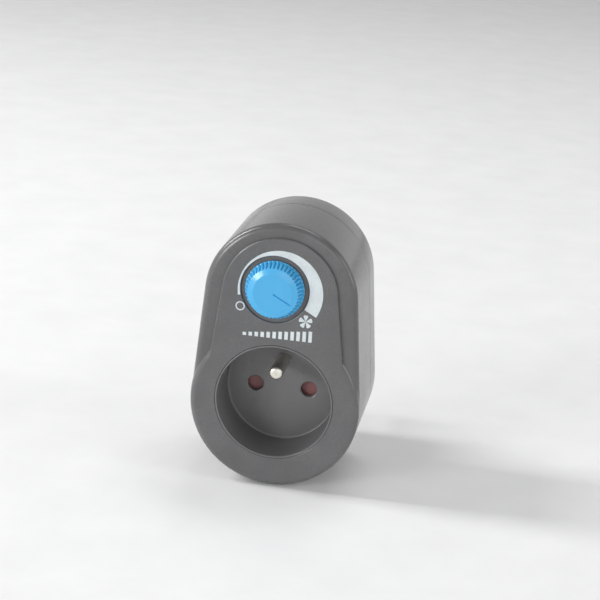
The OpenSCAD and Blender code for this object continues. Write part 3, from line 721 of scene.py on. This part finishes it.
def eased(points, bend=2.2, steps=6):
    """The same run with each corner turned into a short smooth bend."""
    path = [points[0]]
    for before, corner, after in zip(points, points[1:], points[2:]):
        short = min(bend, (corner - before).length * 0.45, (after - corner).length * 0.45)
        a = corner + (before - corner).normalized() * short
        b = corner + (after - corner).normalized() * short
        for i in range(steps + 1):
            t = i / steps
            path.append(a * (1 - t) ** 2 + corner * 2 * t * (1 - t) + b * t ** 2)
    return path + [points[-1]]


def wire(node, slot, points, r):
    """Insulated wire as one smooth tube."""
    path = eased([Vector(p) for p in points])
    side = Vector((0, 0, 1)) if abs((path[1] - path[0]).normalized().z) < 0.9 else Vector((1, 0, 0))
    loops = []
    for i, p in enumerate(path):
        along = (path[min(i + 1, len(path) - 1)] - path[max(i - 1, 0)]).normalized()
        side = (side - along * side.dot(along)).normalized()
        across = along.cross(side)
        loops.append([p + side * r * math.cos(t) + across * r * math.sin(t)
                      for t in (2 * math.pi * k / 20 for k in range(20))])
    settle(loft(f"{node}_tube", loops), "housing", node, slot)


def wires():
    r, fuse_z = 0.9, HIGH_Z + 17
    board_back, carrier_y = BOARD_Y + 1.6, BACK_Y - 4.2
    lead_x, lead_z, out_x = -11.8, fuse_z - 3, -15.6
    wire("live_in_wire", "wire_brown", [
        (-PIN_X, -12, 0), (-PIN_X, -15.4, 0), (2.4 - PIN_X, -15.8, 6),
        (3 - PIN_X, BACK_Y - 1.4, 13.2), (3 - PIN_X, BACK_Y - 1.7, 20),
        (lead_x, BACK_Y - 2, lead_z), (lead_x, board_back, lead_z)], r)
    wire("live_out_wire", "wire_red", [
        (-PIN_X, carrier_y + 0.8, 0), (-PIN_X, carrier_y + 1.8, 0), (-15, carrier_y + 1.8, 21.6),
        (out_x, board_back + 14.6, 25), (out_x, board_back, 25)], r)


# ------------------------------------------------------------ CAD pieces as-is

ROUNDED = {"shutter": 0.25, "contact_carrier": 0.3, "circuit_board": 0.1, "suppression_capacitor": 0.5,
           "triac": 0.25, "heat_sink": 0.15, "timing_capacitor": 0.5, "pin_clamp": 0.3,
           "earth_clip_top": 0.08, "earth_clip_bottom": 0.08, "pot_case": 0.2, "switch_case": 0.2,
           "choke_core": 0.5, "varistor": 0.6, "choke_winding": 0.2}


def dress_cad_nodes():
    """Materials for every CAD node, and a small bevel on those that are shown as they are."""
    shown = {p["node"]: p["material_slot"] for p in frame["record"]["subparts"]}
    for node, slot in shown.items():
        obj = frame["nodes"][node]
        obj.data.materials.clear()
        obj.data.materials.append(MATERIALS[slot])
        if node in ROUNDED and not obj.hide_render:
            bevel = obj.modifiers.new("edge", "BEVEL")
            bevel.width = ROUNDED[node] * MM
            bevel.segments = 2
            bevel.limit_method = "ANGLE"
            bevel.angle_limit = math.radians(50)


# -------------------------------------------------------------- floor and light

def floor():
    size, drop = 6.0, 0.0002
    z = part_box("rear_shell")[0].z - drop
    mesh = bpy.data.meshes.new("floor")
    corners = [(-size, -size, z), (size, -size, z), (size, size, z), (-size, size, z)]
    mesh.from_pydata(corners, [], [(0, 1, 2, 3)])
    obj = bpy.data.objects.new("floor", mesh)
    bpy.context.collection.objects.link(obj)
    n = Nodes("floor_paper")
    grain = n.noise(40, 4, 0.6)
    n.to(n.mix(n.spread(grain, 0.0, 1.0), (0.86, 0.86, 0.865), (0.90, 0.90, 0.90)), "Base Color")
    n.to(n.spread(grain, 0.8, 0.95), "Roughness")
    mesh.materials.append(n.material)


def area_light(name, position, target, size, power):
    data = bpy.data.lights.new(name, "AREA")
    data.shape = "RECTANGLE"
    data.size, data.size_y = size
    data.energy = power
    obj = bpy.data.objects.new(name, data)
    obj.location = position
    obj.rotation_euler = (Vector(target) - Vector(position)).to_track_quat("-Z", "Y").to_euler()
    bpy.context.collection.objects.link(obj)


def lights():
    """Soft lamps round the object, and a sky that fades from a bright horizon to a dim top."""
    bpy.context.scene.view_settings.view_transform = "Standard"
    world = bpy.data.worlds.new("studio")
    world.use_nodes = True
    tree = world.node_tree
    position = tree.nodes.new("ShaderNodeTexCoord").outputs["Generated"]
    height = tree.nodes.new("ShaderNodeSeparateXYZ")
    tree.links.new(position, height.inputs["Vector"])
    fade = tree.nodes.new("ShaderNodeMapRange")
    for key, value in (("From Min", 0.02), ("From Max", 0.75), ("To Min", 0.95), ("To Max", 0.20)):
        fade.inputs[key].default_value = value
    tree.links.new(height.outputs["Z"], fade.inputs["Value"])
    tree.links.new(fade.outputs["Result"], tree.nodes["Background"].inputs["Strength"])
    tree.nodes["Background"].inputs["Color"].default_value = (1.0, 1.0, 1.0, 1.0)
    bpy.context.scene.world = world
    aim = (0.0, -0.04, 0.02)
    area_light("edge", (-1.22, -0.03, 0.93), aim, (0.22, 0.8), 14.0)
    area_light("front", (-1.18, -1.34, 0.40), aim, (0.67, 0.48), 11.8)
    area_light("fill", (0.56, -1.52, 0.55), aim, (1.28, 0.7), 3.0)
    area_light("top", (0.24, 0.48, 1.44), aim, (0.96, 0.4), 5.2)
    area_light("right", (1.36, -0.24, 0.55), aim, (0.4, 0.9), 3.6)


def camera():
    """The viewpoint found by fitting the socket's standard sizes and the housing's outline."""
    focal_px, image_px, sensor_mm = 1615.4, 600, 36.0
    right = Vector((0.9820, 0.1790, 0.0602))
    forward = Vector((-0.1519, 0.9382, -0.3109))
    up = right.cross(forward).normalized()
    right = forward.cross(up).normalized()
    forward.normalize()
    data = bpy.data.cameras.new("camera")
    data.sensor_width = sensor_mm
    data.lens = focal_px / image_px * sensor_mm
    data.clip_start, data.clip_end = 0.01, 50
    obj = bpy.data.objects.new("camera", data)
    matrix = Matrix((right, up, -forward)).transposed().to_4x4()
    matrix.translation = Vector((0.08853, -0.56158, 0.20449))
    obj.matrix_world = matrix
    bpy.context.collection.objects.link(obj)
    bpy.context.scene.camera = obj


front_shell()
rear_shell()
socket_cup()
earth_pin()
plug_pin("plug_pin_live", -PIN_X, -12.0)
plug_pin("plug_pin_neutral", PIN_X, -21.4)
knob()
prints()
wires()
dress_cad_nodes()
floor()
lights()
camera()
